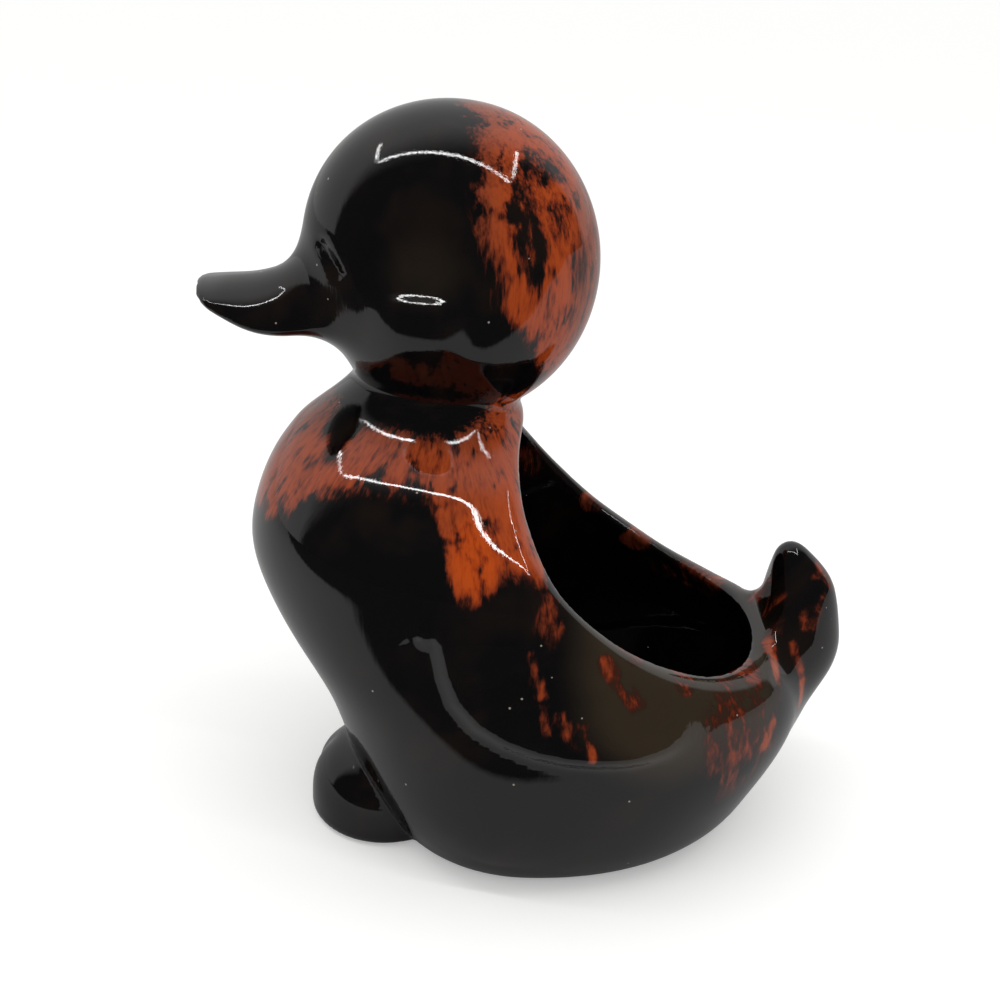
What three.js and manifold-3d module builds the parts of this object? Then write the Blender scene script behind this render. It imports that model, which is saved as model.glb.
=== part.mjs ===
// A duckling planter in glazed earthenware, in millimetres, +Z up.
// The duckling faces -X and stands on z = 0; its left side is at -Y.
// It is one hollow casting, shown here as the sections that a potter models and lutes together.
import * as THREE from 'three';
import { mergeVertices } from 'three/addons/utils/BufferGeometryUtils.js';
import Module from 'manifold-3d';

const wasm = await Module();
wasm.setup();

// Clay
const wall = 4.5; // thickness of the cast wall
const floorThickness = 5;
const seam = 0.3; // gap left between neighbouring sections
const squareness = 2.1; // 2 is an ellipse, more is boxier

// Neck
const neckX = -22.3;
const neckRadius = 15.8;
const neckBottom = 84;
const neckHeight = 5.5;
const neckFlareFront = 5.7; // how far the chest runs on in front of the neck
const neckFlareBack = 1.6;
const neckFlareSide = 2.7;
const throatRadius = neckRadius - wall;

// Body, seen from the side: how far the breast and the rump reach at each height, the half width,
// and the x where the body is widest
const stations = [
  { z: 0, breast: -29.2, rump: 40.3, side: 34.2, widest: -1 },
  { z: 3, breast: -31, rump: 44.5, side: 37, widest: -1 },
  { z: 10, breast: -35, rump: 49.5, side: 40.6, widest: -1 },
  { z: 20, breast: -39, rump: 53.5, side: 42.4, widest: -1 },
  { z: 30, breast: -43.1, rump: 54, side: 42.6, widest: -2 },
  { z: 40, breast: -49.2, rump: 47, side: 41.8, widest: -3 },
  { z: 50, breast: -54.3, rump: 38, side: 40.6, widest: -4 },
  { z: 58, breast: -56.4, rump: 32, side: 39.7, widest: -6.4 },
  { z: 66, breast: -55.4, rump: 20.4, side: 37.8, widest: -12 },
  { z: 72, breast: -53.2, rump: 11.3, side: 32.9, widest: -16.4 },
  { z: 78, breast: -49.6, rump: 3.2, side: 26.6, widest: -19.2 },
  { z: 82, breast: -46.1, rump: -3.4, side: 21, widest: -19.3 },
  {
    z: neckBottom,
    breast: neckX - neckRadius - neckFlareFront,
    rump: neckX + neckRadius + neckFlareBack,
    side: neckRadius + neckFlareSide,
    widest: -18.7,
  },
];

// Lip of the planting opening, seen from the side: down the back of the neck, along the back,
// and up the front of the tail
const lip = [
  { x: -5.4, z: 81.2 },
  { x: -5.7, z: 76 },
  { x: -2.9, z: 70 },
  { x: 1.5, z: 63.8 },
  { x: 8, z: 57 },
  { x: 14, z: 51.4 },
  { x: 21, z: 46.5 },
  { x: 26.8, z: 43.1 },
  { x: 32.2, z: 40.7 },
  { x: 38, z: 39.2 },
  { x: 43, z: 39 },
  { x: 46, z: 41 },
  { x: 47.5, z: 45 },
  { x: 48, z: 50 },
];
const lipLow = 39;
const rumpStart = 40; // behind this the body stops level with the lowest part of the lip

// Tail, an upright tuft behind the opening
const tailStations = [
  { z: 12, breast: 30, rump: 51.3, side: 11, widest: 40 },
  { z: 20, breast: 30, rump: 55.2, side: 12.4, widest: 42 },
  { z: 24, breast: 32, rump: 57.5, side: 12, widest: 44 },
  { z: 28, breast: 33, rump: 60, side: 11.2, widest: 46 },
  { z: 32, breast: 35, rump: 61.8, side: 10.6, widest: 48 },
  { z: 36, breast: 37, rump: 62.4, side: 10.3, widest: 49 },
  { z: 40, breast: 38, rump: 62.2, side: 10, widest: 49.2 },
  { z: 43, breast: 39, rump: 61.7, side: 9.1, widest: 49.6 },
  { z: 46, breast: 40, rump: 61, side: 8.4, widest: 49.8 },
  { z: 49.5, breast: 41, rump: 59.7, side: 7.2, widest: 49.8 },
  { z: 52, breast: 43, rump: 57.8, side: 5.9, widest: 49.8 },
  { z: 54.5, breast: 45, rump: 55.4, side: 4.2, widest: 49.8 },
  { z: 56, breast: 46.4, rump: 53.7, side: 3.2, widest: 49.8 },
  { z: 57.2, breast: 48, rump: 51.8, side: 1.6, widest: 49.8 },
];

// Head, an egg with a full forehead, sitting on the neck
const head = new THREE.Vector3(-19.2, 0, 112);
const headSize = new THREE.Vector3(26.9, 23, 28.9); // half its length, width and height
const headBottom = neckBottom + neckHeight + seam;
const browForward = 4.8;
const browRise = 5;
const browSize = new THREE.Vector3(21.6, 18.8, 21.6);

// Cheeks, full pads with a ledge along the top, under the hollows of the closed eyes
const cheek = new THREE.Vector3(-25, 18.7, 107);
const cheekSize = new THREE.Vector3(9.5, 5.2, 9);
const cheekLedge = 110.9;
const eye = new THREE.Vector3(-24.5, 27.4, 115.8);
const eyeSize = new THREE.Vector3(13, 7, 7.5);

// Bill, a flat spoon: distances and heights are from the middle of the head
const billTip = 47.1;
const billRoot = 12; // where the spoon starts, inside the head
const billSquareness = 2.5;
const billStations = [
  { out: billRoot, edge: -4.1, half: 11, crown: 9, keel: 5 },
  { out: 20.8, edge: -7, half: 12, crown: 11, keel: 9 },
  { out: 25.8, edge: -8.6, half: 11.7, crown: 13, keel: 5.8 },
  { out: 28.8, edge: -9.3, half: 11.4, crown: 11.2, keel: 4.2 },
  { out: 30.8, edge: -9.6, half: 11.5, crown: 8.5, keel: 3.8 },
  { out: 33.8, edge: -9.8, half: 11.6, crown: 7.1, keel: 3.6 },
  { out: 36.8, edge: -9.6, half: 11.3, crown: 6.2, keel: 3.2 },
  { out: 41.8, edge: -8.7, half: 9.9, crown: 4.6, keel: 2.3 },
  { out: 45.3, edge: -7.5, half: 7.3, crown: 2.6, keel: 1.5 },
  { out: billTip, edge: -6.4, half: 3, crown: 1, keel: 1 },
];
const mouthDrop = 0.2; // the line between the two halves lies this far below the edge
const mouthDropAtTip = 0;

// Feet, two flat pads, the left one a little ahead of the right
const footLeft = new THREE.Vector3(-29.4, -8.3, 3);
const footRight = new THREE.Vector3(-23, 10, 3);
const footSize = new THREE.Vector3(14.8, 15.5, 13.7);
const footSquareness = 2.7;

// Wings, low relief on each flank: the front and lower edge, then the upper edge back to the front
const wingRelief = 1.7;
const wingEdge = [
  { x: -23, z: 56.4 },
  { x: -20.4, z: 52.8 },
  { x: -19.2, z: 48.6 },
  { x: -17.2, z: 44.2 },
  { x: -13.4, z: 40.4 },
  { x: -8, z: 37.7 },
  { x: -2, z: 35.9 },
  { x: 4, z: 34.8 },
  { x: 10, z: 34.4 },
  { x: 15.3, z: 34.6 },
  { x: 22, z: 35.4 },
  { x: 27.5, z: 36.6 },
];
const wingTop = [
  { x: 22, z: 40.2 },
  { x: 12, z: 45.8 },
  { x: 0, z: 52 },
  { x: -10, z: 56.2 },
  { x: -17, z: 58 },
  { x: -21, z: 57.8 },
  { x: -23, z: 56.4 },
];

// Facets
const around = 44;
const levelStep = 4;
const sphereAround = 40;
const sphereLevels = 24;
const billAround = 28;
const billSteps = 16;

const drips = { color: 0x15110f, roughness: 0.08, metalness: 0 };
const rust = { color: 0x5a2312, roughness: 0.1, metalness: 0 };
const clay = { color: 0xb9aa93, roughness: 0.85, metalness: 0 };

// Value of one property between the stations, by a curve that never overshoots them.
function between(list, key, along, at) {
  const last = list.length - 1;
  const slopes = [];
  for (let i = 0; i < last; i += 1) {
    slopes.push((list[i + 1][key] - list[i][key]) / (list[i + 1][along] - list[i][along]));
  }
  const tangent = (i) => {
    if (i === 0) return slopes[0];
    if (i === last) return slopes[last - 1];
    const before = slopes[i - 1];
    const after = slopes[i];
    return before * after <= 0 ? 0 : (2 * before * after) / (before + after);
  };
  let k = 0;
  while (k < last - 1 && at > list[k + 1][along]) k += 1;
  const span = list[k + 1][along] - list[k][along];
  const t = (at - list[k][along]) / span;
  const t2 = t * t;
  const t3 = t2 * t;
  return (
    (2 * t3 - 3 * t2 + 1) * list[k][key] +
    (t3 - 2 * t2 + t) * span * tangent(k) +
    (3 * t2 - 2 * t3) * list[k + 1][key] +
    (t3 - t2) * span * tangent(k + 1)
  );
}

// A closed skin through rings of equal point count, with a flat fan over each end.
function skin(rings) {
  const count = rings[0].length;
  const points = rings.flat();
  const triangles = [];
  for (let r = 0; r < rings.length - 1; r += 1) {
    for (let i = 0; i < count; i += 1) {
      const j = (i + 1) % count;
      const a = r * count + i;
      const b = r * count + j;
      triangles.push(a, b, b + count, a, b + count, a + count);
    }
  }
  const caps = [[rings[0], 0, true], [rings.at(-1), (rings.length - 1) * count, false]];
  for (const [ring, start, flip] of caps) {
    const middle = points.length;
    const centre = new THREE.Vector3();
    ring.forEach((point) => centre.add(point));
    points.push(centre.divideScalar(count));
    for (let i = 0; i < count; i += 1) {
      const j = (i + 1) % count;
      triangles.push(middle, start + (flip ? j : i), start + (flip ? i : j));
    }
  }
  const geometry = new THREE.BufferGeometry().setFromPoints(points);
  geometry.setIndex(triangles);
  return geometry;
}

// Sign-keeping power, for rounded-square sections.
function bulge(value, power = squareness) {
  return Math.sign(value) * Math.abs(value) ** (2 / power);
}

// Level section of the body or the tail, grown outwards by a margin.
function levelRing(list, z, grow) {
  const at = (key) => between(list, key, 'z', z);
  const widest = at('widest');
  const ahead = widest - at('breast') + grow;
  const behind = at('rump') - widest + grow;
  const side = at('side') + grow;
  return Array.from({ length: around }, (_, i) => {
    const turn = (2 * Math.PI * i) / around;
    const reach = Math.cos(turn) < 0 ? ahead : behind;
    return new THREE.Vector3(widest + reach * bulge(Math.cos(turn)), side * bulge(Math.sin(turn)), z);
  });
}

// Solid of the body or the tail between two heights.
function levelLoft(list, bottom, top, grow = 0) {
  const steps = Math.max(1, Math.round((top - bottom) / levelStep));
  const rings = [];
  for (let i = 0; i <= steps; i += 1) {
    rings.push(levelRing(list, bottom + ((top - bottom) * i) / steps, grow));
  }
  return solid(skin(rings));
}

function solid(geometry) {
  const bare = geometry.clone();
  bare.deleteAttribute('normal');
  bare.deleteAttribute('uv');
  const merged = mergeVertices(bare, 1e-5);
  return new wasm.Manifold(
    new wasm.Mesh({
      numProp: 3,
      vertProperties: new Float32Array(merged.attributes.position.array),
      triVerts: new Uint32Array(merged.index.array),
    }),
  );
}

// A round body at a centre, half as long, wide and high as the whole, grown by a margin.
function placed(round, centre, size, grow) {
  round.rotateX(Math.PI / 2);
  round.scale(size.x + grow, size.y + grow, size.z + grow);
  round.translate(centre.x, centre.y, centre.z);
  return solid(round);
}

function ellipsoid(centre, size, grow = 0) {
  return placed(new THREE.SphereGeometry(1, sphereAround, sphereLevels), centre, size, grow);
}

// A flat pad, round in plan, with a fuller edge than an ellipsoid.
function pad(centre, size, grow = 0) {
  const profile = [new THREE.Vector2(0, -1)];
  for (let i = 1; i < sphereLevels; i += 1) {
    const turn = Math.PI * (i / sphereLevels - 0.5);
    profile.push(new THREE.Vector2(
      bulge(Math.cos(turn), footSquareness),
      bulge(Math.sin(turn), footSquareness),
    ));
  }
  profile.push(new THREE.Vector2(0, 1));
  return placed(new THREE.LatheGeometry(profile, sphereAround), centre, size, grow);
}

function box(x0, x1, y0, y1, z0, z1) {
  const block = new THREE.BoxGeometry(x1 - x0, y1 - y0, z1 - z0);
  block.translate((x0 + x1) / 2, (y0 + y1) / 2, (z0 + z1) / 2);
  return solid(block);
}

// A side-view outline, drawn in x and z, pushed through from y0 to y1.
function sideways(shape, y0, y1, curveSegments = 12) {
  const slab = new THREE.ExtrudeGeometry(shape, { depth: y1 - y0, bevelEnabled: false, curveSegments });
  slab.rotateX(Math.PI / 2);
  slab.translate(0, y1, 0);
  return solid(slab);
}

function mesh(name, shape, look) {
  const { vertProperties, triVerts } = shape.getMesh();
  const geometry = new THREE.BufferGeometry();
  geometry.setAttribute('position', new THREE.Float32BufferAttribute(vertProperties, 3));
  geometry.setIndex(Array.from(triVerts));
  geometry.computeVertexNormals();
  const part = new THREE.Mesh(geometry, new THREE.MeshStandardMaterial(look));
  part.name = name;
  return part;
}

const reach = 2 * neckBottom; // longer than any section
const bodyTop = neckBottom;

// What is above the lip and ahead of the tail, raised by a margin.
function aboveLip(raise) {
  const points = lip.map(({ x, z }) => new THREE.Vector2(x + raise, z + raise));
  const shape = new THREE.Shape();
  shape.moveTo(points[0].x, neckBottom + reach);
  shape.lineTo(points[0].x, points[0].y);
  shape.splineThru(points.slice(1));
  shape.lineTo(lip.at(-1).x, neckBottom + reach);
  shape.closePath();
  return sideways(shape, -reach, reach, 3);
}

// What is above the lip, on past the tail to the rump.
function aboveRump(raise) {
  return box(rumpStart, reach, -reach, reach, lipLow + raise, neckBottom + reach);
}

// The body outside, opened above the lip, with no hollow yet.
function bodyForm(bottom, top, grow) {
  const raise = Math.max(grow, 0);
  return levelLoft(stations, bottom, top, grow).subtract(aboveLip(raise)).subtract(aboveRump(raise));
}

function base() {
  return levelLoft(stations, 0, floorThickness);
}

// The planting space inside the wall.
function hollow() {
  return levelLoft(stations, floorThickness, bodyTop + 1, -wall);
}

function basin() {
  return bodyForm(floorThickness + seam, bodyTop, 0).subtract(hollow());
}

function throat(bottom, top) {
  const hole = new THREE.CylinderGeometry(throatRadius, throatRadius, top - bottom, sphereAround);
  hole.rotateX(Math.PI / 2);
  hole.translate(neckX, 0, (bottom + top) / 2);
  return solid(hole);
}

function neck() {
  const foot = levelRing(stations, neckBottom, 0);
  const bottom = neckBottom + seam;
  const top = neckBottom + neckHeight;
  const steps = 3;
  const rings = [];
  for (let i = 0; i <= steps; i += 1) {
    const t = i / steps;
    const draw = 1 - (1 - t) ** 2;
    rings.push(
      foot.map((point, k) => {
        const turn = (2 * Math.PI * k) / around;
        const round = new THREE.Vector3(
          neckX + neckRadius * Math.cos(turn),
          neckRadius * Math.sin(turn),
          point.z,
        );
        const ringPoint = point.clone().lerp(round, draw);
        ringPoint.z = bottom + (top - bottom) * t;
        return ringPoint;
      }),
    );
  }
  return solid(skin(rings)).subtract(throat(bottom - 1, top + 1));
}

// Outside of the head, grown by a margin.
function headForm(grow) {
  const brow = new THREE.Vector3(head.x - browForward, 0, head.z + browRise);
  return ellipsoid(head, headSize, grow).add(ellipsoid(brow, browSize, grow));
}

function headShell() {
  const above = box(-reach, reach, -reach, reach, cheekLedge, 2 * cheekLedge);
  const below = box(-reach, reach, -reach, reach, -reach, headBottom);
  let shell = headForm(0);
  for (const side of [-1, 1]) {
    const across = new THREE.Vector3(1, side, 1);
    shell = shell
      .add(ellipsoid(cheek.clone().multiply(across), cheekSize).subtract(above))
      .subtract(ellipsoid(eye.clone().multiply(across), eyeSize));
  }
  return shell
    .subtract(ellipsoid(head, headSize, -wall))
    .subtract(below)
    .subtract(throat(headBottom - 1, head.z));
}

// Upright section of the bill at a distance out from the middle of the head.
function billRing(out) {
  const at = (key) => between(billStations, key, 'out', out);
  const edge = head.z + at('edge');
  return Array.from({ length: billAround }, (_, i) => {
    const turn = (-2 * Math.PI * i) / billAround;
    const depth = Math.sin(turn) > 0 ? at('crown') : at('keel');
    return new THREE.Vector3(
      head.x - out,
      at('half') * bulge(Math.cos(turn), billSquareness),
      edge + depth * bulge(Math.sin(turn), billSquareness),
    );
  });
}

function billForm() {
  const rings = [];
  for (let i = 0; i <= billSteps; i += 1) {
    const t = i / billSteps;
    const out = billRoot + (billTip - billRoot) * (1 - (1 - t) ** 1.4);
    rings.push(billRing(out));
  }
  return solid(skin(rings)).subtract(headForm(seam));
}

// Everything below the mouth line, lowered by a margin.
function belowMouth(lower) {
  const shape = new THREE.Shape();
  const far = billTip + 5;
  shape.moveTo(head.x, -reach);
  shape.lineTo(head.x - far, -reach);
  for (let i = 0; i <= billSteps; i += 1) {
    const out = far + ((billRoot - far) * i) / billSteps;
    const within = Math.min(out, billTip);
    const t = (within - billRoot) / (billTip - billRoot);
    const drop = mouthDrop + (mouthDropAtTip - mouthDrop) * t * t;
    shape.lineTo(head.x - out, head.z + between(billStations, 'edge', 'out', within) - drop - lower);
  }
  shape.lineTo(head.x, head.z - mouthDrop - lower);
  shape.closePath();
  return sideways(shape, -reach, reach);
}

// What is left of a foot pad above the ground and outside the body.
function foot(whole) {
  const under = box(-reach, reach, -reach, reach, -reach, 0);
  return whole.subtract(under).subtract(levelLoft(stations, -1, neckBottom / 2, seam));
}

function tail() {
  const top = tailStations.at(-1).z;
  const form = levelLoft(tailStations, tailStations[0].z, top);
  return form.subtract(bodyForm(0, bodyTop, seam)).subtract(aboveLip(seam)).subtract(hollow());
}

// Wing outline from the side, laid over the flank.
function wing(side) {
  const points = [...wingEdge, ...wingTop].map(({ x, z }) => new THREE.Vector2(x, z));
  const shape = new THREE.Shape();
  shape.moveTo(points[0].x, points[0].y);
  shape.splineThru(points.slice(1, wingEdge.length));
  shape.splineThru(points.slice(wingEdge.length));
  const slab = side < 0 ? sideways(shape, -reach, -8, 2) : sideways(shape, 8, reach, 2);
  const skinOver = levelLoft(stations, 0, bodyTop, wingRelief);
  return skinOver.intersect(slab).subtract(levelLoft(stations, -1, bodyTop + 1, seam));
}

const bill = billForm();
const duckling = new THREE.Group();
duckling.add(
  mesh('base', base(), clay),
  mesh('basin', basin(), drips),
  mesh('neck', neck(), drips),
  mesh('head', headShell(), drips),
  mesh('bill_upper', bill.subtract(belowMouth(0)), drips),
  mesh('bill_lower', bill.intersect(belowMouth(seam)), drips),
  mesh('foot_left', foot(pad(footLeft, footSize)), drips),
  mesh('foot_right', foot(pad(footRight, footSize).subtract(pad(footLeft, footSize, seam))), drips),
  mesh('wing_left', wing(-1), rust),
  mesh('wing_right', wing(1), rust),
  mesh('tail', tail(), rust),
);

// The origin is on the ground under the middle of the overall length.
duckling.updateMatrixWorld(true);
const extent = new THREE.Box3().setFromObject(duckling, true);
duckling.position.x = -(extent.min.x + extent.max.x) / 2;

export default duckling;
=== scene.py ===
import math

import bpy
import numpy as np
from mathutils import Matrix, Vector


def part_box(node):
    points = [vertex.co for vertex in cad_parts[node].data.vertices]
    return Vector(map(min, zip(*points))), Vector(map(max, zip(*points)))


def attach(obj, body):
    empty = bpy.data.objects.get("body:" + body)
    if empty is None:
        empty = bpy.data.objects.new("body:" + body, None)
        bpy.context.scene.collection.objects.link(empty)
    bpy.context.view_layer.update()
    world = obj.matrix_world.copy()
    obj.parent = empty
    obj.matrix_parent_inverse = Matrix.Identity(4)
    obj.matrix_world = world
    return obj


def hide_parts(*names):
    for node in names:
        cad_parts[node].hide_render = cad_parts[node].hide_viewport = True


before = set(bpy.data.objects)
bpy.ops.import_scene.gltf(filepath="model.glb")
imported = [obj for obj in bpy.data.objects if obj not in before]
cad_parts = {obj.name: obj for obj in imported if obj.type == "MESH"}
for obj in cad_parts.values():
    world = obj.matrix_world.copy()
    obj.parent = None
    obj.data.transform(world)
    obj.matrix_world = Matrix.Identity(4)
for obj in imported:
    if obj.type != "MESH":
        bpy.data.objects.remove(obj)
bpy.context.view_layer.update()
millimetre = 0.001
# The shapes below are in millimetres from the middle of the body; the frame's x starts a little further on.
billReach = 66.3
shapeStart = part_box("bill_upper")[0].x / millimetre + billReach
print("frame loaded, the shapes start at x", round(shapeStart, 2), "mm")


def linear(code):  # sRGB hex to the linear colour that Blender wants
    parts = [int(code[i:i + 2], 16) / 255 for i in (0, 2, 4)]
    return [c / 12.92 if c <= 0.04045 else ((c + 0.055) / 1.055) ** 2.4 for c in parts] + [1]


def addNode(tree, kind, settings={}, links={}):  # a link from a node takes its first output
    node = tree.nodes.new("ShaderNode" + kind)
    for name, value in settings.items():
        if isinstance(name, str) and hasattr(node, name):
            setattr(node, name, value)
        else:
            node.inputs[name].default_value = value
    for name, source in links.items():
        source = source.outputs[0] if isinstance(source, bpy.types.Node) else source
        tree.links.new(source, node.inputs[name])
    return node


def emptyTree(owner):
    owner.use_nodes = True
    owner.node_tree.nodes.clear()
    return owner.node_tree


def smoothLine(knots, values):  # cubic curve through a list of measurements
    x, y = np.array(knots, float), np.array(values, float)
    step, rise = np.diff(x), np.diff(y) / np.diff(x)
    system, wanted = np.eye(len(x)), np.zeros(len(x))
    for i in range(1, len(x) - 1):
        system[i, i - 1:i + 2] = step[i - 1], 2 * (step[i - 1] + step[i]), step[i]
        wanted[i] = 6 * (rise[i] - rise[i - 1])
    bend = np.linalg.solve(system, wanted)

    def at(place):
        place = np.clip(place, x[0], x[-1])
        i = np.clip(np.searchsorted(x, place) - 1, 0, len(x) - 2)
        before, after, gap = place - x[i], x[i + 1] - place, step[i]
        curve = bend[i] * (after ** 3 / gap - after * gap) + bend[i + 1] * (before ** 3 / gap - before * gap)
        return (y[i] * after + y[i + 1] * before) / gap + curve / 6

    return at


def joinSoftly(a, b, reach):  # two clays pressed together, with a fillet
    h = np.clip(0.5 + 0.5 * (b - a) / reach, 0, 1)
    return b + (a - b) * h - reach * h * (1 - h)


def cutSoftly(a, b, reach):
    return -joinSoftly(-a, b, reach)


def egg(x, y, z, centre, radii):
    p = [(v - c) / r for v, c, r in zip((x, y, z), centre, radii)]
    q = [v / r for v, r in zip(p, radii)]
    k = np.sqrt(sum(v * v for v in p))
    return k * (k - 1) / np.maximum(np.sqrt(sum(v * v for v in q)), 1e-6)


def evened(form, x, y, z):  # turns a form's value into a distance by its own slope
    nudge, leastSlope = 0.3, 0.004
    here = form(x, y, z)
    rises = [form(x + nudge, y, z) - here, form(x, y + nudge, z) - here, form(x, y, z + nudge) - here]
    slope = np.sqrt(sum(rise ** 2 for rise in rises)) / nudge
    return here / np.maximum(slope, leastSlope)


def beside(line, x, z):  # distance from a side-view line, and 1 on its left or -1 on its right
    nearest = np.full(np.broadcast(x, z).shape, 1e9)
    side = np.ones_like(nearest)
    for (ax, az), (bx, bz) in zip(line[:-1], line[1:]):
        dx, dz = bx - ax, bz - az
        t = np.clip(((x - ax) * dx + (z - az) * dz) / (dx * dx + dz * dz), 0, 1)
        away = np.hypot(x - ax - t * dx, z - az - t * dz)
        closer = away < nearest
        nearest = np.where(closer, away, nearest)
        side = np.where(closer, np.sign(dx * (z - az) - dz * (x - ax)), side)
    return nearest, side


def fade(value, start, end):  # 0 at start, 1 at end, soft both ways
    t = np.clip((value - start) / (end - start), 0, 1)
    return t * t * (3 - 2 * t)


# Body: how far the breast and the rump reach at each height, the half width, and where it is widest
body = dict(
    z=[-2, 3, 10, 20, 30, 40, 50, 58, 66, 72, 75, 78, 80, 82, 84, 86, 90, 94, 100],
    breast=[-28, -31, -35, -39, -43.1, -49.2, -54.3, -56.4, -55.4, -53.2, -51.6, -49.6, -48.1, -46.1,
            -43.8, -41.4, -37.4, -35.6, -34.6],
    rump=[35.8, 43, 48, 53.2, 54.4, 47.6, 38, 32, 20.4, 11.3, 7.9, 3.2, -0.5, -3.4,
          -4.9, -5.8, -6.6, -6.6, -6.4],
    side=[32, 37, 40.6, 42.4, 42.6, 41.8, 40.8, 40.5, 39, 33.6, 30.3, 26.8, 23.9, 21,
          18.5, 16.6, 15.4, 15.2, 15],
    widest=[-1, -1, -1, -1, -2, -3, -4, -6.4, -12, -16.4, -18.1, -19.2, -19.6, -19.3,
            -18.7, -18.6, -19.8, -20.3, -20.5],
    square=2.1,
    top=93,
)
bodyLines = [smoothLine(body["z"], body[key]) for key in ("breast", "rump", "side", "widest")]


def bodyForm(x, y, z):
    breast, rump, side, widest = [line(z) for line in bodyLines]
    u = (x - widest) / np.where(x < widest, widest - breast, rump - widest)
    return (np.abs(u) ** body["square"] + np.abs(y / side) ** body["square"]) ** (1 / body["square"]) - 1


# Lip of the planting opening, seen from the side: down the neck, along the back, up the tail
lip = dict(
    x=[8, 0, -5.4, -5.9, -3.5, 0.7, 7.2, 13.4, 20.6, 26.6, 32.2, 38, 43, 45.6, 46.6, 46.8, 46.8, 46.8],
    z=[87, 84.4, 81.2, 76, 69.4, 63.1, 56.4, 51.2, 46.6, 43.5, 41.2, 39.8, 39.8, 41.6, 45, 50, 56, 66],
    rounding=2.5,
    tailRounding=3.5,  # added where the lip runs up the tail
    tailStart=(38, 44),
    tailRise=(40, 46),
    pieces=90,
)
lipRun = np.r_[0, np.cumsum(np.hypot(np.diff(lip["x"]), np.diff(lip["z"])))]
lipSteps = np.linspace(0, lipRun[-1], lip["pieces"])
lipLine = list(zip(smoothLine(lipRun, lip["x"])(lipSteps), smoothLine(lipRun, lip["z"])(lipSteps)))

# Tail: a tuft that thins upwards and leans a little forwards at its tip
tail = dict(
    rings=[((36, 0, 24), 17), ((48.4, 0, 36), 12.8), ((49.4, 0, 44.5), 9.8), ((48.6, 0, 51.8), 6)],
    narrowing=1.4,
    fillets=(9, 5, 5),
)


def taper(x, y, z, start, end):  # from a ball at the start to a smaller one at the end
    (a, thick), (b, thin) = [(np.array(place, float), radius) for place, radius in (start, end)]
    d = b - a
    length, shrink = d @ d, thick - thin
    slope = length - shrink * shrink
    px, py, pz = x - a[0], y - a[1], z - a[2]
    t = px * d[0] + py * d[1] + pz * d[2]
    across = (px * length - d[0] * t) ** 2 + (py * length - d[1] * t) ** 2 + (pz * length - d[2] * t) ** 2
    past = t - length
    limit = np.sign(shrink) * shrink * shrink * across
    out = (np.sqrt(across * slope / length) + t * shrink) / length - thick
    startCap = np.sqrt(across + t * t * length) / length - thick
    endCap = np.sqrt(across + past * past * length) / length - thin
    out = np.where(np.sign(t) * slope * t * t * length < limit, startCap, out)
    return np.where(np.sign(past) * slope * past * past * length > limit, endCap, out)


# Wings: a rolled front edge that runs down and back along the flank, over a slightly raised panel
wing = dict(
    ridge=[(-22.6, 55.2), (-21, 56.2), (-19.4, 55.4), (-18.6, 52.2), (-17.6, 48.4), (-15.6, 43.8), (-12, 40),
           (-7, 37.2), (-1.5, 35.2), (4, 33.9), (10, 33.2), (15.3, 33), (22, 33.6), (27.5, 34.8)],
    lift=1.5,  # the panel stands out most along its lower edge
    liftEdge=(-4, 1),
    liftRun=16,
    liftPower=1.5,
    roll=0.8,
    rollWidth=2.3,
    middle=1,
    spread=24,
    endPower=8,
    top=(60, 55),
    flank=(12, 20),
)


def wingRelief(x, y, z):
    away, side = beside(wing["ridge"], x, z)
    inside = side * away
    panel = wing["lift"] * fade(inside, *wing["liftEdge"])
    panel = panel * np.exp(-(np.maximum(inside, 0) / wing["liftRun"]) ** wing["liftPower"])
    roll = wing["roll"] * np.exp(-(inside / wing["rollWidth"]) ** 2)
    ends = np.exp(-(np.abs(x - wing["middle"]) / wing["spread"]) ** wing["endPower"])
    return (panel + roll) * ends * fade(z, *wing["top"]) * fade(np.abs(y), *wing["flank"])


# Feet: two flat pads, the left one a little ahead, each with a shallow toe groove running in from its front
foot = dict(
    centres=((-29.4, -9.5, 3), (-23, 10, 3)),
    radii=(14.8, 15.5, 13.7),
    plumpness=2.7,
    crease=1.2,
    groove=0.6,
    grooveWidth=1.8,
    grooveReach=(-9, -13),
    grooveRise=(3, 7),
    grooveTurn=-2.5,
)


def footForm(x, y, z):
    rx, ry, rz = foot["radii"]
    power = foot["plumpness"]
    return ((np.sqrt((x / rx) ** 2 + (y / ry) ** 2)) ** power + np.abs(z / rz) ** power) ** (1 / power) - 1


def feet(x, y, z):
    pads = []
    for cx, cy, cz in foot["centres"]:
        pad = evened(footForm, x - cx, y - cy, z - cz)
        across = y - cy - math.copysign(foot["grooveTurn"], -cy)
        groove = np.exp(-(across / foot["grooveWidth"]) ** 2) * fade(x - cx, *foot["grooveReach"])
        pads.append(pad + foot["groove"] * groove * fade(z, *foot["grooveRise"]))
    return np.minimum(*pads)


head = dict(
    centre=(-19.2, 0, 112),
    radii=(26.9, 23, 28.9),
    brow=(-24, 0, 117),
    browRadii=(21.6, 18.8, 21.6),
    browFillet=4,
    neckFillet=1.6,
)
# Face: full cheeks with a ledge along their top, under the hollows of the closed eyes
cheek = dict(middle=-25, spread=8, endPower=4, ledge=110.9, ledgeRun=3.6, rise=2.2, drop=10, side=(8, 15))
eye = dict(place=(-24.5, 115.8), spread=(8, 4.5), depth=2)
chin = dict(place=(-41, 93.5), spread=(5, 4.5), depth=1.4)
nostril = dict(line=[(-42, 117), (-39.2, 113.2)], width=1.2, depth=0.6, side=(7, 11))


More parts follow.
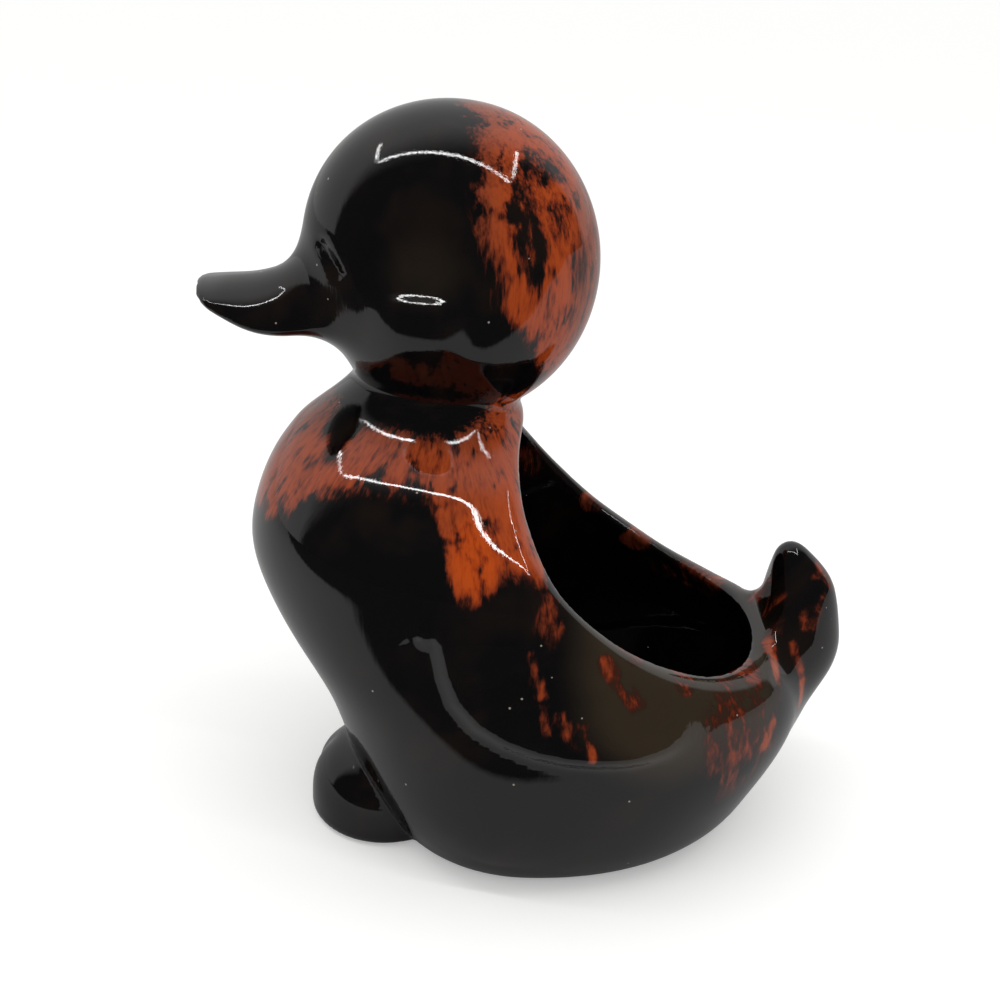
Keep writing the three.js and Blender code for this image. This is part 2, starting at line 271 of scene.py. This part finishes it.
def faceRelief(x, y, z):
    below = cheek["ledge"] - z
    sag = np.maximum(below, 0) / cheek["drop"]
    pad = cheek["rise"] * fade(below, -cheek["ledgeRun"] / 2, cheek["ledgeRun"] / 2)
    pad = pad * np.exp(-sag ** 2 - (np.abs(x - cheek["middle"]) / cheek["spread"]) ** cheek["endPower"])
    (ex, ez), (sx, sz) = eye["place"], eye["spread"]
    hollow = eye["depth"] * np.exp(-((x - ex) / sx) ** 2 - ((z - ez) / sz) ** 2)
    (cx, cz), (sx, sz) = chin["place"], chin["spread"]
    under = chin["depth"] * np.exp(-((x - cx) / sx) ** 2 - ((z - cz) / sz) ** 2)
    away, _ = beside(nostril["line"], x, z)
    dent = nostril["depth"] * np.exp(-(away / nostril["width"]) ** 2) * fade(np.abs(y), *nostril["side"])
    return (pad - hollow) * fade(np.abs(y), *cheek["side"]) - under - dent


# Bill: height of its edge, half width, and how far it bulges above and below the edge
bill = dict(
    x=[-66.3, -64.5, -61, -56, -50, -45, -40, -34, -24],
    edge=[106.6, 105.5, 103.9, 102.2, 101.6, 102.4, 104.4, 107, 110],
    half=[3.6, 7.6, 10.1, 11.4, 11.6, 11.2, 11, 11, 11],
    crown=[0.6, 1.7, 3.8, 6.1, 8.6, 10.3, 10.3, 9.6, 9],
    keel=[0.5, 1.2, 2, 2.6, 3, 3.4, 4, 4.4, 4.8],
    squareness=(1.8, 2.5),  # above and below the edge
    tip=-66.6,
    root=-24,
    tipRounding=2.4,
    fillet=6,
)
billLines = [smoothLine(bill["x"], bill[key]) for key in ("edge", "half", "crown", "keel")]


def billForm(x, y, z):
    edge, half, crown, keel = [line(x) for line in billLines]
    rise = np.abs(z - edge) / np.where(z > edge, crown, keel)
    power = np.where(z > edge, *bill["squareness"])
    return (np.abs(y / half) ** power + rise ** power) ** (1 / power) - 1


def headForm(x, y, z):
    out = egg(x, y, z, head["centre"], head["radii"])
    out = joinSoftly(out, egg(x, y, z, head["brow"], head["browRadii"]), head["browFillet"])
    out = out - faceRelief(x, y, z)
    beak = np.maximum(evened(billForm, x, y, z), x - bill["root"])
    beak = cutSoftly(beak, x - bill["tip"], bill["tipRounding"])
    return joinSoftly(out, beak, bill["fillet"])


# Casting: the hollow shell of clay, and the box and grid that its surface is drawn on
cast = dict(
    wall=4.5,
    floor=5,
    floorFillet=3,
    headFillet=4,
    innerEdge=2.5,
    standing=0.25,  # the skin ends this far above the ground
    footEdge=2,
    box=((-70, -47, -3), (67, 47, 144)),
    gridStep=1.0,
)


def outside(x, y, z):
    out = np.maximum(evened(bodyForm, x, y, z), z - body["top"])
    for start, end, fillet in zip(tail["rings"][:-1], tail["rings"][1:], tail["fillets"]):
        out = joinSoftly(out, taper(x, y * tail["narrowing"], z, start, end), fillet)
    out = out - wingRelief(x, y, z)
    return joinSoftly(out, feet(x, y, z), foot["crease"])


def plantingSpace(x, y, z):
    room = evened(bodyForm, x, y, z) + cast["wall"]
    room = -joinSoftly(-room, -(cast["floor"] - z), cast["floorFillet"])
    room = np.maximum(room, z - body["top"])
    inHead = egg(x, y, z, head["centre"], [r - cast["wall"] for r in head["radii"]])
    return joinSoftly(room, inHead, cast["headFillet"])


def casting(x, y, z):
    away, side = beside(lipLine, x, z)
    upTail = fade(x, *lip["tailStart"]) * fade(z, *lip["tailRise"])
    rounding = lip["rounding"] + lip["tailRounding"] * upTail
    out = cutSoftly(outside(x, y, z), -away * side, rounding)
    out = joinSoftly(out, headForm(x, y, z), head["neckFillet"])
    out = cutSoftly(out, plantingSpace(x, y, z), cast["innerEdge"])
    return cutSoftly(out, z - cast["standing"], cast["footEdge"])


def netOver(field, axes):  # a point in each grid cell that the surface crosses, joined into faces
    inside = field < 0
    nx, ny, nz = inside.shape
    filled = sum(inside[i:nx - 1 + i, j:ny - 1 + j, k:nz - 1 + k].astype(int)
                 for i, j, k in np.ndindex(2, 2, 2))
    cells = np.argwhere((filled > 0) & (filled < 8))
    number = np.full(filled.shape, -1)
    number[tuple(cells.T)] = np.arange(len(cells))
    total, crossings = np.zeros((len(cells), 3)), np.zeros(len(cells))
    for corner in np.ndindex(2, 2, 2):
        for axis in [k for k in range(3) if corner[k] == 0]:
            start = cells + corner
            end = start + np.eye(3, dtype=int)[axis]
            a, b = field[tuple(start.T)], field[tuple(end.T)]
            crossed = (a < 0) != (b < 0)
            point = start.astype(float)
            point[crossed, axis] += (a / np.where(crossed, a - b, 1))[crossed]
            total[crossed] += point[crossed]
            crossings[crossed] += 1
    faces = []
    for axis in range(3):
        first, second = np.moveaxis(inside, axis, 0)[:-1], np.moveaxis(inside, axis, 0)[1:]
        edges = np.argwhere(np.moveaxis(first != second, 0, axis))
        leaving = np.moveaxis(first, 0, axis)[tuple(edges.T)]
        across, along = [k for k in range(3) if k != axis]
        ring = []
        for da, db in ((-1, -1), (0, -1), (0, 0), (-1, 0)):
            cell = edges.copy()
            cell[:, across] += da
            cell[:, along] += db
            ring.append(number[tuple(cell.T)])
        ring = np.stack(ring, 1)
        turned = leaving if axis == 1 else ~leaving
        ring[turned] = ring[turned][:, ::-1]
        faces.append(ring)
    spots = total / crossings[:, None]
    spots = np.stack([axes[i][0] + spots[:, i] * (axes[i][1] - axes[i][0]) for i in range(3)], 1)
    return spots, np.concatenate(faces)


def slopeAt(form, points):
    nudge = 0.25
    moves = np.eye(3) * nudge
    return np.stack([(form(*(points + m).T) - form(*(points - m).T)) / (2 * nudge) for m in moves], 1)


def drawOnto(form, points):  # moves each point straight onto the surface
    passes, longest, leastSlope = 3, 0.8, 0.05
    for _ in range(passes):
        slope = slopeAt(form, points)
        shift = -form(*points.T)[:, None] * slope / np.maximum((slope ** 2).sum(1), leastSlope)[:, None]
        length = np.linalg.norm(shift, axis=1)[:, None]
        points = points + shift * np.minimum(1, longest / np.maximum(length, 1e-9))
    return points


def skinOf(form, low, high, step):
    axes = [np.arange(a, b + step, step) for a, b in zip(low, high)]
    field = form(axes[0][:, None, None], axes[1][None, :, None], axes[2][None, None, :])
    points, faces = netOver(field, axes)
    points = drawOnto(form, points)
    slope = slopeAt(form, points)
    return points, faces, slope / np.linalg.norm(slope, axis=1)[:, None]


def makePiece(name, points, faces, normals, material, replaced):
    mesh = bpy.data.meshes.new(name)
    placed = (points + [shapeStart, 0, 0]) * millimetre
    mesh.from_pydata(placed.tolist(), [], faces.tolist())
    mesh.shade_smooth()
    mesh.normals_split_custom_set_from_vertices(normals.tolist())
    mesh.materials.append(material)
    piece = bpy.data.objects.new(name, mesh)
    bpy.context.scene.collection.objects.link(piece)
    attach(piece, "root")
    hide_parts(*replaced)
    print(name, "made of", len(faces), "faces")
    return piece


# Pour: where the second, iron-red glaze was poured over the black one, alike on both sides, in millimetres
pour = dict(
    axis=head["centre"][:2],
    axisSoftness=8,
    wrap=28,  # the pattern is wound on a drum of this radius
    wrapBelow=(92, 84),
    shell=(-3.2, -1.5),  # from the planting space out to the skin
    neck=(86, 90),
    intoLip=(9, 5),  # the planting space is black below its lip
    headEdge=dict(
        z=[86, 95, 101, 105, 108, 111, 116, 123, 128, 138, 142],
        x=[-2, -3, -5.5, -7.5, -10.5, -12.5, -13.5, -16, -16.5, -17.5, -21],
        above=(87, 90),
        soft=(-2.5, 4),
        strength=0.95,
    ),
    collar=dict(  # lower and upper edge, by the turn round the neck: -180 is the breast and 0 the back
        turn=[-180, -162, -149, -143, -138, -130, -118, -107, -95, -91, -88, -84, -78, -74,
              -70, -60, -45, -30, 0],
        low=[62, 64.5, 67.5, 69.5, 73, 75, 76.5, 77, 76, 72, 63.5, 61.5, 63.5, 67, 66, 63.5, 63, 60, 50],
        top=[87, 87, 84, 84, 84.5, 85, 85, 84.5, 84.5, 84.5, 85, 85.5, 86, 86.5, 87.5, 90, 92, 92, 92],
        lowSoft=(-2.5, 3.5),
        topSoft=(1.5, -2),
        back=(4, -2),
        strength=0.9,
    ),
    patches=[  # centre, radii, strength
        ((37, 27, 31), (11, 14, 14), 0.35),
        ((46.5, 7, 46), (3, 6, 7), 0.5),
        ((54, 8, 45), (3, 4, 3.5), 0.55),
        ((56.5, 3, 51), (3.5, 5, 4), 0.5),
        ((24, 31, 43), (4, 4, 3), 0.6),
        ((38, 20, 39), (5, 6, 3), 0.55),
        ((-1, 38, 59), (3.5, 5, 6), 0.35),
        ((14.5, 33.5, 50.5), (4, 4, 3), 0.5),
    ],
    threads=[  # places along the run, half width, strength
        ([(-4, 41, 53), (-1.5, 42, 46)], 1.1, 0.75),
        ([(2, 43, 42), (4.5, 44, 36)], 1, 0.75),
        ([(6, 43, 40), (8.5, 44, 34)], 1, 0.8),
        ([(-1, 42, 43), (0, 43, 39)], 1.2, 0.5),
        ([(9.6, 39.3, 51), (12.8, 39.4, 46.8), (16.5, 39.6, 42)], 1.7, 0.5),
        ([(50.2, 10.6, 40), (53.4, 11, 33), (52.7, 12.5, 28)], 1.3, 0.75),
        ([(45.3, 10.5, 41), (46, 15, 38.8), (46, 20, 35), (45.4, 23, 32.5), (43, 27, 27)], 1.5, 0.85),
    ],
    bare=[  # where the red drew back from the black: centre, radii, strength, softness
        ((-38, 12, 84), (3.5, 4.5, 4.5), 1, 0.5),
        ((-39.5, 16.5, 80.5), (2.2, 3, 3.5), 0.7, 0.5),
        ((-8, 17, 125), (3, 6, 7), 0.6, 0.5),
        ((-5, 21, 118), (1.6, 6, 4), 0.45, 0.5),
        ((-1, 15, 124), (2.5, 6, 4), 0.45, 0.5),
        ((3, 13, 115), (1.6, 5, 6), 0.5, 0.5),
        ((-5, 12, 131.5), (5, 6, 3), 0.5, 0.5),
    ],
    thin=dict(  # where the glaze is so thin that brown shows: under the lip, on the flank, in the eye
        belowLip=(16, 5),
        front=(0, 10),
        back=(48, 42),
        flank=((22, 37, 42), (18, 9, 15), 1, 0.3),
        eye=((-24.5, 22, 115.8), (6, 6, 5), 0.3, 0.6),
    ),
    ember=dict(  # where the red fired to orange
        spots=[((-14, 36, 69), (5, 9, 9), 1, 0.5), ((-9, 22, 102), (7, 10, 8), 0.5)],
        shoulder=dict(front=(-16, -8), back=(4, 0), foot=(60, 68), strength=0.6),
        body=dict(top=(86, 80), strength=0.35),
        tail=dict(front=(40, 46), strength=0.5),
    ),
)


def flowOf(points):  # winds each point round the neck's axis, and measures how far the glaze has run down
    x, y = points[:, 0] - pour["axis"][0], points[:, 1] - pour["axis"][1]
    z = points[:, 2]
    out = np.hypot(x, y)
    low = fade(z, *pour["wrapBelow"])
    turn = 1 - low + low * pour["wrap"] / np.sqrt(out ** 2 + pour["axisSoftness"] ** 2)
    return np.stack([x * turn, y * turn, low * out - z], 1)


def spot(points, centre, radii, strength, softness=0.35):
    mirrored = (points[:, 0], np.abs(points[:, 1]), points[:, 2])
    near = np.sqrt(sum(((v - c) / r) ** 2 for v, c, r in zip(mirrored, centre, radii)))
    return fade(near, 1 + softness, 1 - softness) * strength


def thread(points, path, halfWidth, strength, softness=1):
    away = np.full(len(points), 1e9)
    flat = points * (1, 0, 1) + np.abs(points) * (0, 1, 0)
    for start, end in zip(np.array(path[:-1], float), np.array(path[1:], float)):
        run = end - start
        along = np.clip((flat - start) @ run / (run @ run), 0, 1)
        away = np.minimum(away, np.linalg.norm(flat - start - along[:, None] * run, axis=1))
    return fade(away, halfWidth + softness, halfWidth - softness) * strength


def rustOf(points, outer, belowLip):
    x, y, z = points.T
    edge, collar = pour["headEdge"], pour["collar"]
    past = x - smoothLine(edge["z"], edge["x"])(z)
    rust = fade(z, *edge["above"]) * fade(past, *edge["soft"]) * edge["strength"]
    turn = -np.degrees(np.abs(np.arctan2(y, x - pour["axis"][0])))
    low, top = [np.interp(turn, collar["turn"], collar[key]) for key in ("low", "top")]
    band = fade(z - low, *collar["lowSoft"]) * fade(z - top, *collar["topSoft"])
    rust = np.maximum(rust, band * outer * fade(x, *collar["back"]) * collar["strength"])
    for patch in pour["patches"]:
        rust = np.maximum(rust, spot(points, *patch))
    for streak in pour["threads"]:
        rust = np.maximum(rust, thread(points, *streak))
    rust = rust * np.maximum(outer, fade(belowLip, *pour["intoLip"]))
    for place in pour["bare"]:
        rust = rust * (1 - spot(points, *place))
    return rust


def thinOf(points, outer, belowLip):
    x, thin = points[:, 0], pour["thin"]
    rim = fade(belowLip, *thin["belowLip"]) * fade(x, *thin["front"]) * fade(x, *thin["back"])
    return np.maximum(np.maximum(rim, spot(points, *thin["flank"])) * outer, spot(points, *thin["eye"]))


def emberOf(points, outer):
    x, z = points[:, 0], points[:, 2]
    shoulder, trunk, tuft = [pour["ember"][key] for key in ("shoulder", "body", "tail")]
    warm = [spot(points, *place) for place in pour["ember"]["spots"]]
    warm.append(fade(x, *shoulder["front"]) * fade(x, *shoulder["back"]) * fade(z, *shoulder["foot"])
                * shoulder["strength"] * outer)
    warm.append(fade(z, *trunk["top"]) * trunk["strength"] * outer)
    warm.append(fade(x, *tuft["front"]) * tuft["strength"])
    return np.max(warm, axis=0)


glaze = dict(
    patterns=dict(  # millimetres across and down the run, detail, where the noise starts
        hairs=(0.6, 4, 3, (0, 0, 0)),
        runs=(1.9, 11, 3, (7, 3, 1)),
        pools=(3.4, 8, 2, (2, 9, 4)),
        clouds=(9, 14, 2, (5, 1, 8)),
    ),
    patternRoughness=0.6,
    patternDistortion=0.3,
    streaks=dict(hairs=1.3, runs=1.2),  # how much each pattern varies the red
    gaps=(0.46, 0.74, 0, 0.6),  # pools between these values take this much red away
    steps=dict(  # what is read, and the values between which it goes from 0 to 1
        cover=("amount", 0, 0.5),
        poured=("rust", 0.05, 0.35),
        tone=("amount", 0.05, 1.2),
        glow=("amount", 0.2, 1.1),
        warmth=("amount", 0.3, 0.8),
        haze=("clouds", 0.45, 0.7),
        pinhole=("pinholes", 0.045, 0.03),
        roughness=("pools", 0.3, 0.7, 0.02, 0.045),  # here from 0.02 to 0.045
    ),
    red=[(0, "1c0b07"), (0.3, "4a1e12"), (0.62, "6c2f1b"), (1, "833b20")],
    glow=("701d06", "a84314"),
    black=("070607", "130d0a"),
    brown="2e261c",
    pinholeRim="8d857c",
    refraction=1.52,
    pinholeGap=5.5,  # millimetres from here on
    waveLength=4.5,
    waveHeight=0.02,
    hairHeight=0.012,
)


def glazeMaterial():
    # Glossy earthenware glaze, iron red run over mirror black: the eye gets a deep wet surface with
    # sharp lights, and fine red hairs that follow the way the glaze ran.
    material = bpy.data.materials.new("iron_red_over_black_glaze")
    tree = emptyTree(material)
    place = addNode(tree, "NewGeometry")
    flow = addNode(tree, "Attribute", {"attribute_name": "flow"}).outputs["Vector"]
    read = {}
    for name in ("rust", "ember", "thin"):
        read[name] = addNode(tree, "Attribute", {"attribute_name": name}).outputs["Fac"]
    for name, (across, along, detail, start) in glaze["patterns"].items():
        wound = addNode(tree, "Mapping", {"Scale": (1 / across, 1 / across, 1 / along), "Location": start},
                        {"Vector": flow})
        read[name] = addNode(tree, "TexNoise", {
            "Scale": 1, "Detail": detail, "Roughness": glaze["patternRoughness"],
            "Distortion": glaze["patternDistortion"]}, {"Vector": wound})
    read["pinholes"] = addNode(tree, "TexVoronoi", {
        "Scale": 1 / (glaze["pinholeGap"] * millimetre), "Randomness": 1}, {"Vector": place})

    # The amount of red is what was poured, varied by hairs and runs, less what the pools take away
    amount = read["rust"]
    for name, strength in glaze["streaks"].items():
        swing = addNode(tree, "Math", {"operation": "SUBTRACT", 1: 0.5}, {0: read[name]})
        amount = addNode(tree, "Math", {"operation": "MULTIPLY_ADD", 1: strength}, {0: swing, 2: amount})
    soft = {"interpolation_type": "SMOOTHSTEP"}
    ends = ("From Min", "From Max", "To Min", "To Max")
    gaps = addNode(tree, "MapRange", {**soft, **dict(zip(ends, glaze["gaps"]))}, {"Value": read["pools"]})
    read["amount"] = addNode(tree, "Math", {"operation": "SUBTRACT"}, {0: amount, 1: gaps})
    step = {}
    for name, (source, *span) in glaze["steps"].items():
        step[name] = addNode(tree, "MapRange", {**soft, **dict(zip(ends, span))}, {"Value": read[source]})

    # Colours: red and orange hairs over black, and brown where the glaze is thin
    hair = addNode(tree, "ValToRGB", {}, {"Fac": step["tone"]})
    dark, *between, bright = glaze["red"]
    stops = hair.color_ramp.elements
    stops[0].color = linear(dark[1])
    stops[1].color = linear(bright[1])
    for share, code in between:
        stops.new(share).color = linear(code)
    glow, black = [[linear(code) for code in glaze[key]] for key in ("glow", "black")]
    orange = addNode(tree, "Mix", {"data_type": "RGBA", 6: glow[0], 7: glow[1]}, {"Factor": step["glow"]})
    heat = addNode(tree, "Math", {"operation": "MULTIPLY"}, {0: read["ember"], 1: step["warmth"]})
    red = addNode(tree, "Mix", {"data_type": "RGBA"}, {"Factor": heat, 6: hair, 7: orange.outputs[2]})
    under = addNode(tree, "Mix", {"data_type": "RGBA", 6: black[0], 7: black[1]}, {"Factor": step["haze"]})
    under = addNode(tree, "Mix", {"data_type": "RGBA", 7: linear(glaze["brown"])},
                    {"Factor": read["thin"], 6: under.outputs[2]})
    cover = addNode(tree, "Math", {"operation": "MULTIPLY"}, {0: step["cover"], 1: step["poured"]})
    colour = addNode(tree, "Mix", {"data_type": "RGBA"},
                     {"Factor": cover, 6: under.outputs[2], 7: red.outputs[2]})
    colour = addNode(tree, "Mix", {"data_type": "RGBA", 7: linear(glaze["pinholeRim"])},
                     {"Factor": step["pinhole"], 6: colour.outputs[2]})

    wave = addNode(tree, "TexNoise", {"Scale": 1 / (glaze["waveLength"] * millimetre), "Detail": 1},
                   {"Vector": place})
    relief = addNode(tree, "Bump", {"Strength": 1, "Distance": glaze["waveHeight"] * millimetre},
                     {"Height": wave})
    relief = addNode(tree, "Bump", {"Strength": 1, "Distance": glaze["hairHeight"] * millimetre},
                     {"Height": read["hairs"], "Normal": relief})
    shine = addNode(tree, "BsdfPrincipled", {"IOR": glaze["refraction"]},
                    {"Base Color": colour.outputs[2], "Normal": relief, "Roughness": step["roughness"]})
    addNode(tree, "OutputMaterial", {}, {"Surface": shine})
    return material


print("casting the duckling")
points, faces, normals = skinOf(casting, *cast["box"], cast["gridStep"])
skin = makePiece("glazed_duckling", points, faces, normals, glazeMaterial(),
                 ["basin", "neck", "head", "bill_upper", "bill_lower", "foot_left", "foot_right",
                  "wing_left", "wing_right", "tail"])
outer = np.maximum(fade(evened(bodyForm, *points.T), *pour["shell"]), fade(points[:, 2], *pour["neck"]))
belowLip, _ = beside(lipLine, points[:, 0], points[:, 2])
masks = dict(rust=rustOf(points, outer, belowLip), ember=emberOf(points, outer),
             thin=thinOf(points, outer, belowLip))
flow = skin.data.attributes.new("flow", "FLOAT_VECTOR", "POINT")
flow.data.foreach_set("vector", flowOf(points).ravel())
for name, values in masks.items():
    layer = skin.data.attributes.new(name, "FLOAT", "POINT")
    layer.data.foreach_set("value", values)
print("glaze poured")

# Underside: the dry clay that the duckling stands on, wiped clean of glaze, in millimetres
sole = dict(
    planHeight=3,  # the plan is the body's outline at this height
    inset=3.2,
    rim=6,
    recess=0.7,
    height=2.2,
    edge=0.8,
    recessEdge=0.6,
    box=((-34, -40, -2), (46, 40, 4)),
    gridStep=0.8,
    grain=0.6,
    grainHeight=0.1,
    stain=14,
    colours=("a8977f", "cdbfa8"),
    roughness=(0.75, 0.95),
    refraction=1.45,
)


def soleForm(x, y, z):
    plan = evened(bodyForm, x, y, z * 0 + sole["planHeight"]) + sole["inset"]
    out = cutSoftly(plan, -(z - sole["height"]), sole["edge"])
    out = cutSoftly(out, z, sole["edge"])
    centre = -joinSoftly(-(plan + sole["rim"]), -(z - sole["recess"]), sole["recessEdge"])
    return cutSoftly(out, centre, sole["recessEdge"])


def clayMaterial():
    # Bare earthenware, cast and fired without glaze: the eye gets a dry, pale, slightly grainy surface.
    material = bpy.data.materials.new("bare_earthenware")
    tree = emptyTree(material)
    place = addNode(tree, "NewGeometry")
    grain = addNode(tree, "TexNoise", {"Scale": 1 / (sole["grain"] * millimetre), "Detail": 4},
                    {"Vector": place})
    stain = addNode(tree, "TexNoise", {"Scale": 1 / (sole["stain"] * millimetre), "Detail": 3},
                    {"Vector": place})
    ramp = addNode(tree, "ValToRGB", {}, {"Fac": stain})
    for stop, code in zip(ramp.color_ramp.elements, sole["colours"]):
        stop.color = linear(code)
    bump = addNode(tree, "Bump", {"Strength": 1, "Distance": sole["grainHeight"] * millimetre},
                   {"Height": grain})
    smooth, rough = sole["roughness"]
    roughness = addNode(tree, "MapRange", {"To Min": smooth, "To Max": rough}, {"Value": grain})
    clay = addNode(tree, "BsdfPrincipled", {"IOR": sole["refraction"]},
                   {"Base Color": ramp, "Normal": bump, "Roughness": roughness})
    addNode(tree, "OutputMaterial", {}, {"Surface": clay})
    return material


points, faces, normals = skinOf(soleForm, *sole["box"], sole["gridStep"])
makePiece("bare_sole", points, faces, normals, clayMaterial(), ["base"])

# Studio: a white tent that is open towards the viewer, three thin strip lights and a white paper floor
studio = dict(
    tent=0.62,  # how bright the cloth is at the horizon, and at the top
    top=0.85,
    opening=0.05,
    edgeLow=0.03,  # how softly the cloth ends at the horizon, and how much more at the top
    edgeHigh=0.35,
    turned=0.2,
    fill=0.9,  # light on all that isn't a mirror
    white="ffffff",
)
world = bpy.data.worlds.new("tent")
bpy.context.scene.world = world
tree = emptyTree(world)
ray = addNode(tree, "LightPath").outputs
way = addNode(tree, "SeparateXYZ", {}, {"Vector": addNode(tree, "TexCoord").outputs["Generated"]}).outputs
steepness = addNode(tree, "Math", {"operation": "MULTIPLY"}, {0: way["Z"], 1: way["Z"]})
edge = addNode(tree, "Math", {"operation": "MULTIPLY_ADD", 1: studio["edgeHigh"], 2: studio["edgeLow"]},
               {0: steepness})
depth = addNode(tree, "Math", {"operation": "MULTIPLY_ADD", 1: -studio["turned"]},
                {0: way["X"], 2: way["Y"]})
level = addNode(tree, "Math", {"operation": "SUBTRACT", 0: 1}, {1: steepness})
depth = addNode(tree, "Math", {"operation": "MULTIPLY_ADD", 1: -studio["turned"]}, {0: level, 2: depth})
across = addNode(tree, "Math", {"operation": "DIVIDE"}, {0: depth, 1: edge})
cloth = addNode(tree, "Math", {"operation": "MULTIPLY_ADD", 1: studio["top"] - studio["tent"],
                               2: studio["tent"]}, {0: steepness})
tent = addNode(tree, "MapRange", {"interpolation_type": "SMOOTHSTEP", "From Min": -1, "From Max": 1,
                                  "To Min": studio["opening"]}, {"Value": across, "To Max": cloth})
seen = addNode(tree, "Mix", {"data_type": "FLOAT", 2: studio["fill"]}, {0: ray["Is Glossy Ray"], 3: tent})
clear = addNode(tree, "Mix", {"data_type": "FLOAT", 3: 1}, {0: ray["Is Camera Ray"], 2: seen})
sky = addNode(tree, "Background", {"Color": linear(studio["white"])}, {"Strength": clear})
addNode(tree, "OutputWorld", {}, {"Surface": sky})

strips = dict(
    height=0.6,
    width=0.013,
    radiance=26,
    runs=[
        ((-0.468, -0.016), (0.359, -0.236)),
        ((-0.477, 0.012), (-0.391, 0.165)),
        ((0.362, -0.18), (0.314, 0.085)),
    ],
)
for number, (start, end) in enumerate(strips["runs"]):
    run = Vector(end) - Vector(start)
    lamp = bpy.data.lights.new("strip_" + str(number), "AREA")
    lamp.shape = "RECTANGLE"
    lamp.size, lamp.size_y = run.length, strips["width"]
    lamp.energy = strips["radiance"] * math.pi * run.length * strips["width"]
    holder = bpy.data.objects.new(lamp.name, lamp)
    holder.location = (*((Vector(start) + Vector(end)) / 2), strips["height"])
    holder.rotation_euler = (0, 0, math.atan2(run.y, run.x))
    holder.visible_camera = False
    bpy.context.scene.collection.objects.link(holder)

sweep = dict(
    reach=9,
    front=-0.2,
    colour="e6e6e4",
    lift=0.28,  # keeps the paper white where the camera sees it
    mirrored=0.5,
    mirrorStart=-0.0875,  # in the glaze the paper ends at a slanting edge, and the dark room follows
    mirrorSlant=-0.225,
    mirrorSoftness=0.003,
)


def paperMaterial():
    # Matt white paper: the eye gets a pale and even floor that takes a soft shadow.
    material = bpy.data.materials.new("white_paper")
    tree = emptyTree(material)
    ray = addNode(tree, "LightPath").outputs
    place = addNode(tree, "SeparateXYZ", {}, {"Vector": addNode(tree, "NewGeometry")}).outputs
    line = addNode(tree, "Math", {"operation": "MULTIPLY_ADD", 1: -sweep["mirrorSlant"],
                                  2: -sweep["mirrorStart"]}, {0: place["X"]})
    past = addNode(tree, "Math", {"operation": "ADD"}, {0: line, 1: place["Y"]})
    soft = sweep["mirrorSoftness"]
    mirrored = addNode(tree, "MapRange", {"From Min": -soft, "From Max": soft, "To Min": studio["opening"],
                                          "To Max": sweep["mirrored"]}, {"Value": past})
    shade = addNode(tree, "Mix", {"data_type": "RGBA", 6: linear(sweep["colour"])},
                    {"Factor": ray["Is Glossy Ray"], 7: mirrored})
    paper = addNode(tree, "BsdfDiffuse", {}, {"Color": shade.outputs[2]})
    lift = addNode(tree, "Math", {"operation": "MULTIPLY", 1: sweep["lift"]}, {0: ray["Is Camera Ray"]})
    glow = addNode(tree, "Emission", {"Color": linear(studio["white"])}, {"Strength": lift})
    both = addNode(tree, "AddShader", {}, {0: paper, 1: glow})
    addNode(tree, "OutputMaterial", {}, {"Surface": both})
    return material


reach, front = sweep["reach"], sweep["front"]
corners = [(-reach, front, 0), (reach, front, 0), (reach, reach, 0), (-reach, reach, 0)]
floorMesh = bpy.data.meshes.new("paper_floor")
floorMesh.from_pydata(corners, [], [(0, 1, 2, 3)])
floorMesh.materials.append(paperMaterial())
floor = bpy.data.objects.new("paper_floor", floorMesh)
bpy.context.scene.collection.objects.link(floor)

# Camera, above the duckling's left side and looking down at it
lens = dict(place=(-0.02066, -0.27118, 0.1835), turn=3, pitch=23.64, roll=2.98, length=54.5, near=0.01)
turn, pitch, roll = [math.radians(lens[key]) for key in ("turn", "pitch", "roll")]
ahead = Vector((math.sin(turn) * math.cos(pitch), math.cos(turn) * math.cos(pitch), -math.sin(pitch)))
aside = Vector((math.cos(turn), -math.sin(turn), 0))
upright = aside.cross(ahead)
right = math.cos(roll) * aside + math.sin(roll) * upright
above = math.cos(roll) * upright - math.sin(roll) * aside
cameraData = bpy.data.cameras.new("camera")
cameraData.lens = lens["length"]
cameraData.clip_start = lens["near"]
camera = bpy.data.objects.new("camera", cameraData)
camera.matrix_world = Matrix((right, above, -ahead)).transposed().to_4x4()
camera.location = lens["place"]
bpy.context.scene.collection.objects.link(camera)
bpy.context.scene.camera = camera
bpy.context.scene.view_settings.view_transform = "Standard"
print("studio set")
